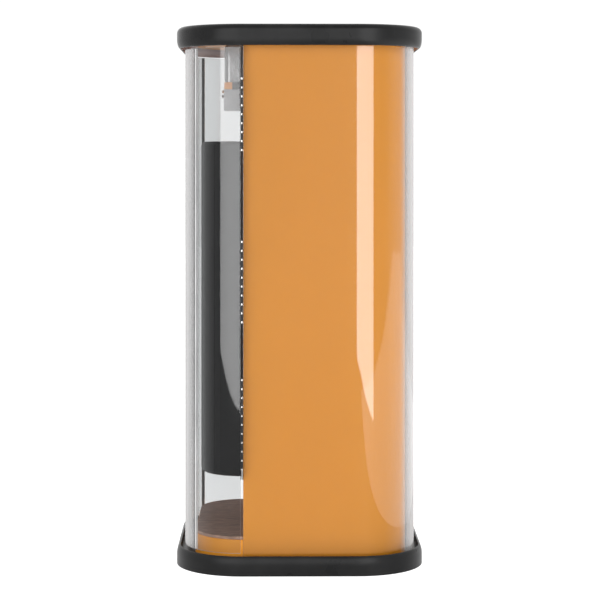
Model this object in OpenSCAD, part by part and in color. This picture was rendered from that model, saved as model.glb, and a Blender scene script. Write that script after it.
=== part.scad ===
// Free-standing newspaper vending box: black base and cap, clear wrap-round shell, a coloured
// sheet-metal cabinet inside it and a hinged clear front door with a black display panel.
// Millimetres. Z is up, the front faces -Y, the hinge is on +X, the origin is the centre of the base.

/* [Overall] */
// Height from the floor to the top of the cap
total_h = 1100; // [900:10:1300]
// Width of the cap and the base, along X
plate_w = 504; // [470:2:620]
// Depth of the cap and the base, along Y
plate_d = 504; // [470:2:620]
// Corner radius of the cap and the base in plan
plate_r = 137; // [110:1:160]

/* [Base and cap] */
// Height of the base rim
base_h = 39; // [30:1:60]
// Thickness of the base slab inside the rim
base_floor = 24; // [16:1:26]
// Height of the cap from its lower rim to its top
cap_h = 43; // [34:1:60]
// Thickness of the cap slab above the recess
cap_slab = 24; // [22:1:28]
// Thickness of the rims
rim_t = 8; // [5:0.5:12]
// Rounding of the cap's top edge
cap_round = 16; // [4:1:18]
// Radius of the four anchor holes
anchor_r = 6.5; // [4:0.5:9]
// Distance between the anchor holes, both ways
anchor_pitch = 300; // [260:5:330]

/* [Clear shell] */
// Ledge from the plate edge to the outside of the shell
ledge = 17; // [14:0.5:22]
// Wall of the clear shell
shell_t = 5; // [3:0.5:8]
// Gap between the door and the rims above and below it
door_gap = 3; // [2:0.5:6]

/* [Cabinet] */
// Distance from the outside of the shell to the outside of the cabinet sheet
liner_inset = 18; // [12:0.5:24]
// Thickness of the cabinet sheet
liner_t = 2; // [1:0.5:3]
// Distance from the outside of the shell to the plinth
plinth_inset = 21; // [20.5:0.5:44]
// Height of the plinth above the base floor
plinth_h = 42; // [30:1:80]
// Thickness of the plinth sheet
plinth_t = 2; // [1:0.5:3]
// Thickness of the board that the papers lie on
board_t = 6; // [3:0.5:12]
// Radius of the tie rods
rod_r = 4; // [3:0.5:6]
// Distance of the tie rods from the side and back of the cabinet
rod_inset = 42; // [36:1:60]

/* [Door] */
// Distance from the outside of the shell to the face of the display panel
panel_inset = 33; // [30:1:44]
// Thickness of the display panel
panel_t = 3; // [2:0.5:5]
// Height of the display panel's lower edge above the floor
panel_z = 190; // [120:5:300]
// Height of the display panel
panel_h = 676; // [400:4:700]
// Thickness of the hinge leaves, the jamb and the stile
leaf_t = 1.5; // [1:0.1:2]
// Width of the seam between door and cabinet, over both leaves
seam_w = 5; // [4.5:0.1:6]

/* [Hinge] */
// Outer radius of a hinge knuckle
knuckle_r = 2.6; // [2.3:0.1:3]
// Radius of the hinge pin
pin_r = 1.6; // [1.2:0.1:1.8]
// Running clearance between pin and knuckle
pin_clear = 0.06; // [0.02:0.01:0.1]
// Distance between knuckle centres
knuckle_pitch = 17.8; // [14:0.1:24]
// Open gap between two knuckles, where the pin shows
knuckle_gap = 3.6; // [2:0.1:5]
// Radius of the heads at the ends of a pin
pin_head_r = 2.4; // [2:0.1:2.6]

/* [Coin mechanism] */
// Width of the mechanism case along X
mech_w = 64; // [56:1:90]
// Depth of the mechanism case along Y
mech_d = 97; // [90:1:110]
// Height of the mechanism case
mech_h = 87; // [70:1:110]
// Wall of the mechanism case and the chute
mech_t = 1.5; // [1:0.1:2.5]
// Distance from the front of the shell to the case
mech_setback = 78; // [70:1:90]
// Width of the coin slot
slot_w = 6; // [5:0.5:8]
// Length of the coin slot
slot_l = 34; // [28:1:40]
// Height of the cash box
cash_h = 50; // [40:1:70]
// Wall of the cash box
cash_t = 2; // [1.5:0.5:3]
// Radius of the lock barrel in the cash box
lock_r = 8; // [6:0.5:9]
// Radius of the release button
button_r = 9; // [7:0.5:12]
// Travel of the release button
button_travel = 4; // [2:0.5:5]

/* [Latch and pull] */
// Radius of the latch bolt
bolt_r = 5; // [3:0.5:6]
// Height of the latch bolt's axis above the floor
latch_z = 615; // [500:5:800]
// Height of the door pull
pull_h = 150; // [100:5:220]
// Thickness of the grip
grip_t = 5.5; // [4:0.5:6]

/* [Hidden] */
$fn = 64;

eps = 0.01;
seat_gap = 0.3;                           // gap between moving neighbours
run_gap = 1;                              // open gap round pieces that only pass each other
shell_in = ledge + shell_t;               // insets are measured from the plate edge
liner_out = ledge + liner_inset;
liner_in = liner_out + liner_t;
plinth_out = ledge + plinth_inset;
panel_out = ledge + panel_inset;
half_w = plate_w / 2;
half_d = plate_d / 2;
flat_y = half_d - plate_r;                // half length of the flat side of the shell
seam_y = -flat_y - 1.5;                   // middle of the seam, just past the start of the corner
door_y = seam_y - seam_w / 2;             // where the door's shell ends
cabinet_y = seam_y + seam_w / 2;          // where the cabinet's shell and sheet start
cap_z = total_h - cap_h;
slab_z = total_h - cap_slab;              // underside of the cap slab
ceiling_t = 3;
ceiling_z = slab_z - ceiling_t;
door_z0 = base_h + door_gap;
door_z1 = cap_z - door_gap;
plinth_z = base_floor + plinth_h;
hinge_x = half_w - ledge + knuckle_r + 0.6;
leaf_end_x = half_w - ledge;              // the leaves stop short of the other leaf's knuckles
stile_z0 = panel_z;
stile_z1 = door_z1 - 2;
flange_w = 17;
stile_in_x = half_w - panel_out - flange_w;
mech_y = -half_d + ledge + mech_setback;  // front face of the mechanism case
mech_z = ceiling_z - mech_h;
slot_y = mech_y + 37;
button_x = 66;
cash_gap = 4;                             // gap between the case and the cash box below it
cash_z1 = mech_z - cash_gap;
cash_z0 = cash_z1 - cash_h;
cash_front = mech_y - run_gap;
cash_w = mech_w - 4;
rod_x = half_w - liner_in - rod_inset;
rod_y = half_d - liner_in - rod_inset;
nut_h = 6;
strike_x = half_w - liner_in - 5;         // outer face of the strike, clear of the cabinet wall
strike_t = 3;
bolt_y = cabinet_y + 19;
bolt_throw = 9;
bolt_tip = strike_x - strike_t - 3;       // tip of the withdrawn bolt
case_x = bolt_tip - 3.5;                  // outer face of the latch case
case_l = 40;
pull_y = door_y - 18;
pull_w = 26;
pull_z = latch_z - 10;
// each hinge is [height of its lowest knuckle, knuckles in it]; the lowest and the highest
// keep their distance from the ends of the stile, and the middle one hangs a little below half way
hinge_lo = stile_z0 + 23;
hinge_hi = stile_z1 - 202;
HINGES = [[hinge_lo, 10], [(hinge_lo + hinge_hi) / 2 - 25, 9], [hinge_hi, 8]];
// heights of the panel screws
SCREW_Z = [panel_z + 40, panel_z + panel_h / 3, panel_z + 2 * panel_h / 3, panel_z + panel_h - 40];

// a block with rounded corners in plan, inset from the plate edge
module block(inset, z0, z1) {
    hx = half_w - inset;
    hy = half_d - inset;
    r = plate_r - inset;
    translate([0, 0, z0]) linear_extrude(z1 - z0) {
        square([2 * (hx - r), 2 * hy], center = true);
        square([2 * hx, 2 * (hy - r)], center = true);
        for (sx = [-1, 1], sy = [-1, 1]) translate([sx * (hx - r), sy * (hy - r)]) circle(r, $fn = 128);
    }
}

// a wall that follows the plan, open above and below
module ring(inset, wall, z0, z1) {
    difference() {
        block(inset, z0, z1);
        block(inset + wall, z0 - 1, z1 + 1);
    }
}

// all space behind (side = 1) or in front (side = -1) of a plane across Y
module behind(y, side = 1) {
    translate([-plate_w, side > 0 ? y : y - 2 * plate_d, -total_h])
        cube([2 * plate_w, 2 * plate_d, 3 * total_h]);
}

// a box given by its two corners
module span(a, b) {
    translate(a) cube(b - a);
}

// a cylinder along X or Y
module rod_along_x(p, l, r) {
    translate(p) rotate([0, 90, 0]) cylinder(r = r, h = l);
}

module rod_along_y(p, l, r) {
    translate(p) rotate([-90, 0, 0]) cylinder(r = r, h = l);
}

function knuckle_z(h, i) = h[0] + i * knuckle_pitch;
knuckle_l = knuckle_pitch - knuckle_gap;

// knuckles of one leaf: every other one, from the first (odd = 0) or the second (odd = 1)
module knuckles(odd, leaf_y) {
    for (h = HINGES, i = [odd:2:h[1] - 1]) translate([0, 0, knuckle_z(h, i)]) difference() {
        union() {
            translate([hinge_x, seam_y, 0]) cylinder(r = knuckle_r, h = knuckle_l, $fn = 32);
            translate([leaf_end_x - eps, leaf_y, 0]) cube([hinge_x - leaf_end_x, leaf_t, knuckle_l]);
        }
        translate([hinge_x, seam_y, -1]) cylinder(r = pin_r + pin_clear, h = knuckle_l + 2, $fn = 32);
    }
}

// ---- base ----
module anchor_places() {
    for (sx = [-1, 1], sy = [-1, 1]) translate([sx * anchor_pitch / 2, sy * anchor_pitch / 2, 0]) children();
}

bracket_l = 40;
bracket_h = 34;
bracket_t = 3;
bracket_foot = 11;
screw_r = 2.5;
head_h = 3;

// puts its child, drawn for the +X side, against the right, left and back walls of the cabinet
module bracket_places() {
    translate([half_w - liner_in, 0, 0]) children();
    translate([-half_w + liner_in, 0, 0]) rotate([0, 0, 180]) children();
    translate([0, half_d - liner_in, 0]) rotate([0, 0, 90]) children();
}

module base_tray() {
    color("#262626") difference() {
        block(0, 0, base_h);
        block(rim_t, base_floor, base_h + 1);
        anchor_places() translate([0, 0, -1]) cylinder(r = anchor_r, h = base_floor + 2);
        bracket_places() translate([-bracket_foot / 2 - 1, 0, base_floor - 14]) cylinder(r = screw_r, h = 15);
    }
}

module ballast_block() {
    w = anchor_pitch / 2 - anchor_r - 22;
    color("#8d8b86") span([-w, -w, base_floor], [w, w, plinth_z - plinth_t - 4]);
}

module rod_places() {
    for (sx = [-1, 1]) translate([sx * rod_x, rod_y, 0]) children();
}

module plinth_cover() {
    color("#d18f48") difference() {
        block(plinth_out, base_floor, plinth_z);
        block(plinth_out + plinth_t, base_floor - 1, plinth_z - plinth_t);
        rod_places() translate([0, 0, plinth_z - plinth_t - 1]) cylinder(r = rod_r, h = plinth_t + 2);
        // notches for the brackets that hold the cabinet sheet
        bracket_places() span(
            [-bracket_foot - run_gap, -bracket_l / 2 - run_gap, base_floor - 1],
            [1, bracket_l / 2 + run_gap, base_floor + bracket_h + run_gap]
        );
    }
}

module stack_board() {
    color("#785f51") difference() {
        block(plinth_out + 2, plinth_z, plinth_z + board_t);
        rod_places() translate([0, 0, plinth_z - 1]) cylinder(r = rod_r, h = board_t + 2);
    }
}

// ---- cabinet ----
module cabinet_liner() {
    color("#d99750") intersection() {
        ring(liner_out, liner_t, base_floor, ceiling_z);
        behind(cabinet_y);
    }
}

module rear_shell() {
    color("#d8dcde", 0.35) intersection() {
        ring(ledge, shell_t, base_floor, slab_z);
        behind(cabinet_y);
    }
}

// quarter-round edge of the cap at one corner
module cap_corner() {
    r = plate_r - cap_round;
    rotate_extrude($fn = 64) polygon(concat(
        [[0, 0], [plate_r, 0]],
        [for (a = [0:15:90]) [r + cap_round * cos(a), cap_slab - cap_round + cap_round * sin(a)]],
        [[0, cap_slab]]
    ));
}

module top_cap() {
    color("#1f1f1f") difference() {
        union() {
            translate([0, 0, slab_z]) hull() for (sx = [-1, 1], sy = [-1, 1])
                translate([sx * (half_w - plate_r), sy * flat_y, 0]) cap_corner();
            ring(0, rim_t, cap_z, slab_z + eps);
        }
        // coin slot, and the pocket for its plate
        span([-slot_l / 2, slot_y - slot_w / 2, slab_z - 1], [slot_l / 2, slot_y + slot_w / 2, total_h + 1]);
        slot_plate_blank(1);
        slot_screw_places() translate([0, 0, total_h - 12]) cylinder(r = 1.5, h = 13);
        // release button, its guide and its counterbore
        translate([button_x, slot_y, slab_z - 1]) cylinder(r = button_r + seat_gap, h = cap_slab + 2);
        translate([button_x, slot_y, slab_z - 1]) cylinder(r = button_r + 3, h = 11);
        cap_screw_places() translate([0, 0, slab_z - 1]) cylinder(r = screw_r, h = 15);
    }
}

module cap_screw_places() {
    for (sx = [-1, 1], sy = [-1, 1])
        translate([sx * (half_w - liner_in - 70), sy * (half_d - liner_in - 70), 0]) children();
}

module ceiling_plate() {
    color("#d18f48") difference() {
        block(liner_out, ceiling_z, slab_z);
        span([-slot_l / 2, slot_y - slot_w / 2, ceiling_z - 1], [slot_l / 2, slot_y + slot_w / 2, slab_z + 1]);
        cap_screw_places() translate([0, 0, ceiling_z - 1]) cylinder(r = screw_r, h = ceiling_t + 2);
        rod_places() translate([0, 0, ceiling_z - 1]) cylinder(r = rod_r, h = ceiling_t + 2);
    }
}

module tie_rods() {
    color("#b8b8b4") rod_places() translate([0, 0, base_floor]) cylinder(r = rod_r, h = slab_z - base_floor);
}

module tie_rod_nuts() {
    color("#b8b8b4") rod_places() for (z = [plinth_z + board_t, ceiling_z - nut_h])
        translate([0, 0, z]) difference() {
            cylinder(r = rod_r * 1.9, h = nut_h, $fn = 6);
            translate([0, 0, -1]) cylinder(r = rod_r, h = nut_h + 2);
        }
}

// angle brackets that hold the cabinet sheet to the base floor and to the ceiling plate
module liner_brackets() {
    color("#9a9a96") bracket_places() {
        difference() {
            union() {
                span([-bracket_t, -bracket_l / 2, base_floor], [0, bracket_l / 2, base_floor + bracket_h]);
                span([-bracket_foot, -bracket_l / 2, base_floor], [0, bracket_l / 2, base_floor + bracket_t]);
            }
            translate([-bracket_foot / 2 - 1, 0, base_floor - 1]) cylinder(r = screw_r, h = bracket_t + 2);
        }
        span([-bracket_t, -bracket_l / 2, ceiling_z - bracket_h], [0, bracket_l / 2, ceiling_z]);
        span([-bracket_foot, -bracket_l / 2, ceiling_z - bracket_t], [0, bracket_l / 2, ceiling_z]);
    }
}

module bracket_screws() {
    color("#c4c4c0") bracket_places() translate([-bracket_foot / 2 - 1, 0, 0]) {
        translate([0, 0, base_floor - 13]) cylinder(r = screw_r, h = 13 + bracket_t);
        translate([0, 0, base_floor + bracket_t]) cylinder(r = 3.2, h = head_h);
    }
}

module cap_screws() {
    color("#c4c4c0") cap_screw_places() {
        translate([0, 0, ceiling_z - head_h]) cylinder(r = 4.5, h = head_h);
        translate([0, 0, ceiling_z - eps]) cylinder(r = screw_r, h = 15);
    }
}

// ---- hinge and jamb ----
module hinge_leaf_cabinet() {
    color("#1c1c1c") union() {
        span([half_w - liner_in - 2, cabinet_y - leaf_t, stile_z0], [leaf_end_x, cabinet_y, ceiling_z]);
        knuckles(0, cabinet_y - leaf_t + 0.1);
    }
}

module latch_jamb() {
    color("#1c1c1c")
        span([-leaf_end_x, cabinet_y - leaf_t, stile_z0], [-half_w + liner_in, cabinet_y, ceiling_z]);
}

module hinge_pins() {
    color("#d9dad8") for (h = HINGES) translate([hinge_x, seam_y, h[0] - 2]) {
        l = h[1] * knuckle_pitch - knuckle_gap + 4;
        cylinder(r = pin_r, h = l, $fn = 32);
        translate([0, 0, -1.5]) cylinder(r = pin_head_r, h = 1.5, $fn = 32);
        translate([0, 0, l]) cylinder(r = pin_head_r, h = 1.5, $fn = 32);
    }
}

catch_z = latch_z + 90;
catch_l = 60;
catch_x = half_w - liner_in;
catch_w = 13;
catch_plate_t = 1.2;

module magnet_catch() {
    color("#3a3a3a") span(
        [-catch_x, door_y + leaf_t + catch_plate_t + seat_gap, catch_z],
        [-catch_x + catch_w, cabinet_y + 16, catch_z + catch_l]
    );
}

// case of the latch bolt: a foot on the cabinet wall, a web behind the strike and a bored block
module latch_case() {
    z0 = latch_z - 22;
    z1 = latch_z + 22;
    web_y = bolt_y + 12;
    color("#4a4b4c") difference() {
        union() {
            span([-half_w + liner_in, web_y, z0], [-half_w + liner_in + 3, web_y + 36, z1]);
            span([-half_w + liner_in, web_y, z0], [-case_x + case_l, web_y + 3, z1]);
            span([-case_x, bolt_y - 12, z0], [-case_x + case_l, web_y + eps, z1]);
        }
        rod_along_x([-case_x - 1, bolt_y, latch_z], case_l + 2, bolt_r + 0.06);
    }
}

// ---- coin mechanism ----
plate_l = 64;
plate_wd = 26;
slot_plate_t = 2;

module slot_plate_blank(up) {
    span(
        [-plate_l / 2, slot_y - plate_wd / 2, total_h - slot_plate_t],
        [plate_l / 2, slot_y + plate_wd / 2, total_h + up]
    );
}

module slot_screw_places() {
    for (sx = [-1, 1]) translate([sx * (plate_l / 2 - 6), slot_y, 0]) children();
}

module coin_slot_plate() {
    color("#b4b6b6") difference() {
        slot_plate_blank(0);
        span([-slot_l / 2, slot_y - slot_w / 2, total_h - 5], [slot_l / 2, slot_y + slot_w / 2, total_h + 1]);
        slot_screw_places() translate([0, 0, total_h - 5]) cylinder(r = 1.5, h = 6);
        slot_screw_places() translate([0, 0, total_h - 1]) cylinder(r = 3.2, h = 2);
    }
}

module slot_plate_screws() {
    color("#8e9090") slot_screw_places() {
        translate([0, 0, total_h - 1]) cylinder(r = 3, h = 0.9);
        translate([0, 0, total_h - 12]) cylinder(r = 1.5, h = 11.05);
    }
}

chute_in = run_gap;

module coin_chute() {
    color("#a9abab") difference() {
        span(
            [-slot_l / 2 - chute_in - mech_t, slot_y - slot_w / 2 - chute_in - mech_t, mech_z + 2],
            [slot_l / 2 + chute_in + mech_t, slot_y + slot_w / 2 + chute_in + mech_t, ceiling_z - mech_t]
        );
        span(
            [-slot_l / 2 - chute_in, slot_y - slot_w / 2 - chute_in, mech_z],
            [slot_l / 2 + chute_in, slot_y + slot_w / 2 + chute_in, ceiling_z]
        );
    }
}

// case that hangs from the ceiling plate, open below
module mechanism_case() {
    x = mech_w / 2;
    color("#1b1b1c") difference() {
        span([-x, mech_y, mech_z], [x, mech_y + mech_d, ceiling_z]);
        span([-x + mech_t, mech_y + mech_t, mech_z - 1], [x - mech_t, mech_y + mech_d - mech_t, ceiling_z - mech_t]);
        span(
            [-slot_l / 2, slot_y - slot_w / 2, mech_z],
            [slot_l / 2, slot_y + slot_w / 2, ceiling_z + 1]
        );
    }
}

rail_t = 1.5;
rail_drop = 5;
rail_w = 4.5;

// a pair of channels on the sides of the case, which the drawer's flanges run in
module cash_rails() {
    x0 = mech_w / 2;
    x1 = x0 + rail_w;
    y1 = mech_y + mech_d;
    tab_z = mech_z + 4;
    lip_z = cash_z1 - rail_drop;
    color("#d18f48") for (m = [0, 1]) mirror([m, 0, 0]) {
        span([x0, mech_y, tab_z], [x1, y1, tab_z + rail_t]);
        span([x1 - rail_t, mech_y, lip_z], [x1, y1, tab_z + rail_t]);
        span([cash_w / 2 + 0.8, mech_y, lip_z], [x1, y1, lip_z + rail_t]);
    }
}

flange_out = 3.5;
flange_t = 2;
lock_z = cash_z1 - 14;
barrel_l = 15;
barrel_proud = 5;
blade_l = 24;
blade_w = 10;
blade_t = 3;

module cash_box() {
    x = cash_w / 2;
    y1 = mech_y + mech_d;
    flange_z = cash_z1 - rail_drop + rail_t + seat_gap;
    color("#1b1b1c") difference() {
        union() {
            span([-x, cash_front, cash_z0], [x, y1, cash_z1]);
            span([-x - flange_out, mech_y, flange_z], [x + flange_out, y1, flange_z + flange_t]);
        }
        span([-x + cash_t, cash_front + cash_t, cash_z0 + cash_t], [x - cash_t, y1 - cash_t, cash_z1 + 1]);
        rod_along_y([0, cash_front - 1, lock_z], cash_t + 2, lock_r + 0.06);
    }
}

// lock barrel with its blade, which turns up behind the front wall of the case
module cash_lock() {
    blade_y = cash_front - barrel_proud + barrel_l - blade_t;
    color("#d0d1cf") difference() {
        union() {
            rod_along_y([0, cash_front - barrel_proud, lock_z], barrel_l, lock_r);
            span([-blade_l, blade_y, lock_z - blade_w / 2], [0, blade_y + blade_t, lock_z + blade_w / 2]);
        }
        span([-0.8, cash_front - barrel_proud - 1, lock_z - 5], [0.8, cash_front - barrel_proud + 2, lock_z + 5]);
    }
}

module release_button() {
    color("#c33b2a") translate([button_x, slot_y, 0]) {
        translate([0, 0, slab_z + 10 - 5]) cylinder(r = button_r + 2.4, h = 5 - seat_gap);
        translate([0, 0, slab_z + 9]) cylinder(r = button_r, h = cap_slab - 9.5);
    }
}

module button_spring() {
    color("#b8bab9") for (i = [0:2]) translate([button_x, slot_y, slab_z + i * 1.7]) difference() {
        cylinder(r = button_r - 1, h = 1.2);
        translate([0, 0, -1]) cylinder(r = button_r - 3.5, h = 4);
    }
}

// ---- door ----
pull_screw_z = [pull_z + 14, pull_z + pull_h - 14];
post_r = 4;
nut_t = 4;
nut_x = -half_w + shell_in + 4.8;         // the nuts bear on the shell where it curves in

module door_shell() {
    color("#d8dcde", 0.35) difference() {
        intersection() {
            ring(ledge, shell_t, door_z0, door_z1);
            behind(door_y, -1);
        }
        for (z = pull_screw_z) rod_along_x([-half_w - 5, pull_y, z], 60, post_r + 0.05);
    }
}

// leaf that the door hangs on: it closes the door's edge from the shell to the panel
module hinge_leaf_door() {
    color("#1c1c1c") difference() {
        union() {
            span([stile_in_x, door_y, stile_z0], [leaf_end_x, door_y + leaf_t, stile_z1]);
            knuckles(1, door_y - 0.1);
        }
        for (z = SCREW_Z) rod_along_y([stile_in_x + 6, door_y - 1, z], 4, 2);
    }
}

module latch_stile() {
    color("#1c1c1c") difference() {
        span([-leaf_end_x, door_y, stile_z0], [-stile_in_x, door_y + leaf_t, stile_z1]);
        for (z = SCREW_Z) rod_along_y([-stile_in_x - 6, door_y - 1, z], 4, 2);
    }
}

module display_panel() {
    fx = half_w - panel_out - panel_t;
    color("#161616") difference() {
        union() {
            intersection() {
                ring(panel_out, panel_t, panel_z, panel_z + panel_h);
                behind(door_y, -1);
            }
            for (s = [-1, 1]) span(
                [s > 0 ? stile_in_x : -fx - eps, door_y - panel_t, panel_z],
                [s > 0 ? fx + eps : -stile_in_x, door_y, panel_z + panel_h]
            );
        }
        for (s = [-1, 1], z = SCREW_Z) rod_along_y([s * (stile_in_x + 6), door_y - panel_t - 1, z], panel_t + 2, 2);
    }
}

module panel_screws() {
    color("#c4c4c0") for (s = [-1, 1], z = SCREW_Z) {
        rod_along_y([s * (stile_in_x + 6), door_y - panel_t, z], panel_t + leaf_t, 2);
        rod_along_y([s * (stile_in_x + 6), door_y - panel_t - 2.2, z], 2.2, 3.6);
    }
}

// flat grip on two posts, which pass through the door's shell
module door_pull() {
    x0 = -half_w + 1;
    x1 = x0 + grip_t;
    color("#1f1f1f") union() {
        span([x0, pull_y - pull_w / 2, pull_z], [x1, pull_y + pull_w / 2, pull_z + pull_h]);
        for (z = pull_screw_z) {
            rod_along_x([x1 - 1, pull_y, z], nut_x + nut_t + 2 - x1, post_r);
            rod_along_x([x1 - 1, pull_y, z], -half_w + ledge - x1 + 0.5, post_r + 2);
        }
    }
}

module pull_nuts() {
    color("#c4c4c0") for (z = pull_screw_z) difference() {
        rod_along_x([nut_x, pull_y, z], nut_t, post_r + 3);
        rod_along_x([nut_x - 1, pull_y, z], nut_t + 2, post_r);
    }
}

// plate on the latch stile that the bolt shoots through
module door_strike() {
    color("#b0b2b2") difference() {
        span([-strike_x, door_y + leaf_t, latch_z - 20], [-strike_x + strike_t, bolt_y + 9, latch_z + 20]);
        rod_along_x([-strike_x - 1, bolt_y, latch_z], strike_t + 2, bolt_r + 1);
    }
}

module catch_plate() {
    color("#c8c9c8") span(
        [-catch_x + 1, door_y + leaf_t, catch_z + 4],
        [-catch_x + catch_w, door_y + leaf_t + catch_plate_t, catch_z + catch_l - 4]
    );
}

module latch_bolt() {
    knob_x = -case_x + case_l + seat_gap + bolt_throw;
    color("#cfd0ce") union() {
        rod_along_x([-bolt_tip, bolt_y, latch_z], bolt_tip + knob_x + 8, bolt_r);
        rod_along_x([knob_x, bolt_y, latch_z], 8, bolt_r + 3);
    }
}

base_tray();
ballast_block();
plinth_cover();
stack_board();
cabinet_liner();
rear_shell();
top_cap();
ceiling_plate();
tie_rods();
tie_rod_nuts();
liner_brackets();
bracket_screws();
cap_screws();
hinge_leaf_cabinet();
latch_jamb();
hinge_pins();
magnet_catch();
latch_case();
coin_slot_plate();
slot_plate_screws();
coin_chute();
mechanism_case();
cash_rails();
button_spring();
door_shell();
hinge_leaf_door();
latch_stile();
display_panel();
panel_screws();
door_pull();
pull_nuts();
door_strike();
catch_plate();
latch_bolt();
release_button();
cash_box();
cash_lock();
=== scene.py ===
"""Looks of a free-standing newspaper vending box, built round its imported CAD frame.

A black moulded base and cap hold a clear bent shell. Inside it stand a powder-coated cabinet, a glossy
black display sheet on the hinged clear door, and a coin mechanism that hangs under the cap.
"""

import logging
import math
from dataclasses import dataclass
from enum import Enum
from typing import Callable, Iterable

import bmesh
import bpy
from mathutils import Matrix, Vector


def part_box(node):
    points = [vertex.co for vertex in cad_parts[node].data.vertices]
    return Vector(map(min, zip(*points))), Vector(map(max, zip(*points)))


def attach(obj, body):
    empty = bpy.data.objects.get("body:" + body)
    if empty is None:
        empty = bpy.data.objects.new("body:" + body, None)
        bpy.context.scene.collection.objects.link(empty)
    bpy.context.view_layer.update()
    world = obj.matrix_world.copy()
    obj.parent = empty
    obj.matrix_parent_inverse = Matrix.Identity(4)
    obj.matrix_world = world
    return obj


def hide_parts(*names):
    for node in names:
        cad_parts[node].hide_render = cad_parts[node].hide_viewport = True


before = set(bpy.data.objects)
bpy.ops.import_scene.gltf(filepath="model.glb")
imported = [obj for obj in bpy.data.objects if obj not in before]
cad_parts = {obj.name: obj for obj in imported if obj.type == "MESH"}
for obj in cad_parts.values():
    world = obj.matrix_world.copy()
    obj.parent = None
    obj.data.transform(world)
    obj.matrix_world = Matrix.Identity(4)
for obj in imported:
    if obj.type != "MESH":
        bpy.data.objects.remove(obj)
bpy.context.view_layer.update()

MM = 0.001
LOG = logging.getLogger("vending_box")

Triple = tuple[float, float, float]
Colour = Triple


# ---------------------------------------------------------------- materials
class Wiring:
    """A material's node tree, with short calls to add nodes and to link them."""

    def __init__(self, name: str) -> None:
        """Starts an empty material called name."""
        self.material = bpy.data.materials.new(name + "_finish")
        self.material.use_nodes = True
        self.tree = self.material.node_tree
        self.tree.nodes.clear()
        self.output = self.tree.nodes.new("ShaderNodeOutputMaterial")
        self.place = self.tree.nodes.new("ShaderNodeTexCoord").outputs["Object"]

    def add(self, kind: str, **values: object) -> bpy.types.Node:
        """Adds a node.

        Args:
            kind: the node's type, without its ShaderNode prefix.
            values: its settings, or its input sockets' values, with _ for a space.

        Returns:
            The new node.
        """
        node = self.tree.nodes.new("ShaderNode" + kind)
        for key, value in values.items():
            if hasattr(node, key):
                setattr(node, key, value)
            else:
                self.feed(node.inputs[key.replace("_", " ")], value)
        return node

    def feed(self, socket: bpy.types.NodeSocket, value: object) -> None:
        """Sets a socket to a value, or links it to an output."""
        if isinstance(value, bpy.types.NodeSocket):
            self.tree.links.new(value, socket)
        elif isinstance(value, tuple) and len(value) == 3 and socket.type == "RGBA":
            socket.default_value = (*value, 1.0)
        else:
            socket.default_value = value

    def noise(self, scale: float, detail: float = 3.0,
              stretch: Triple = (1.0, 1.0, 1.0)) -> bpy.types.NodeSocket:
        """Fractal noise in object space.

        Args:
            scale: how many features lie in a metre.
            detail: how many finer layers are added.
            stretch: how the space is scaled first, so that a small number draws the noise out.

        Returns:
            The noise's value, from 0 to 1.
        """
        mapping = self.add("Mapping", Vector=self.place, Scale=stretch)
        return self.add("TexNoise", Vector=mapping.outputs[0], Scale=scale, Detail=detail).outputs["Fac"]

    def ramp(self, value: bpy.types.NodeSocket, low: float, high: float, at_low: float,
             at_high: float) -> bpy.types.NodeSocket:
        """Maps a value from one span to another, and holds it at the ends.

        Args:
            value: the value to map.
            low: where the first span starts.
            high: where it ends.
            at_low: what low becomes.
            at_high: what high becomes.

        Returns:
            The mapped value.
        """
        node = self.add("MapRange", From_Min=low, From_Max=high, To_Min=at_low, To_Max=at_high)
        self.feed(node.inputs["Value"], value)
        return node.outputs[0]

    def blend(self, factor: bpy.types.NodeSocket, first: object, second: object) -> bpy.types.NodeSocket:
        """Mixes two colours by factor."""
        node = self.add("Mix", data_type="RGBA")
        self.feed(node.inputs[0], factor)
        self.feed(node.inputs[6], first)
        self.feed(node.inputs[7], second)
        return node.outputs[2]

    def mix(self, factor: bpy.types.NodeSocket, first: bpy.types.Node,
            second: bpy.types.Node) -> bpy.types.Node:
        """Mixes two shaders by factor."""
        node = self.add("MixShader")
        self.feed(node.inputs[0], factor)
        self.feed(node.inputs[1], first.outputs[0])
        self.feed(node.inputs[2], second.outputs[0])
        return node

    def bump(self, height: bpy.types.NodeSocket, depth_mm: float,
             strength: float = 1.0) -> bpy.types.NodeSocket:
        """A bump normal from a height from 0 to 1, depth_mm deep."""
        return self.add("Bump", Height=height, Distance=depth_mm * MM, Strength=strength).outputs[0]

    def close(self, shader: bpy.types.Node) -> bpy.types.Material:
        """Links the last shader to the output and returns the material."""
        self.tree.links.new(shader.outputs[0], self.output.inputs[0])
        return self.material


@dataclass(frozen=True)
class MouldedPlastic:
    """Moulded plastic with a fine spark-eroded grain and faint scuffs."""

    name: str
    colour: Colour
    roughness: float = 0.3
    specular: float = 0.2
    grain_per_m: float = 1400.0
    grain_mm: float = 0.03
    grain_strength: float = 0.5
    cloud_per_m: float = 9.0
    wear: float = 0.3
    scuff_per_m: float = 60.0
    scuff: float = 0.25

    def build(self) -> bpy.types.Material:
        """Builds the node material."""
        w = Wiring(self.name)
        cloud = w.noise(self.cloud_per_m, 5.0)
        grain = w.noise(self.grain_per_m, 2.0)
        scuffs = w.ramp(w.noise(self.scuff_per_m, 6.0, (1.0, 1.0, 0.25)), 0.62, 0.78, 0.0, self.scuff)
        worn = tuple(min(1.0, c * 2.2 + 0.01) for c in self.colour)
        tone = w.blend(w.ramp(cloud, 0.35, 0.7, 0.0, self.wear), self.colour, worn)
        tone = w.blend(scuffs, tone, worn)
        rough = w.ramp(cloud, 0.3, 0.7, self.roughness - 0.06, self.roughness + 0.08)
        return w.close(w.add("BsdfPrincipled", Base_Color=tone, Roughness=rough,
                             Specular_IOR_Level=self.specular,
                             Normal=w.bump(grain, self.grain_mm, self.grain_strength)))


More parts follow.
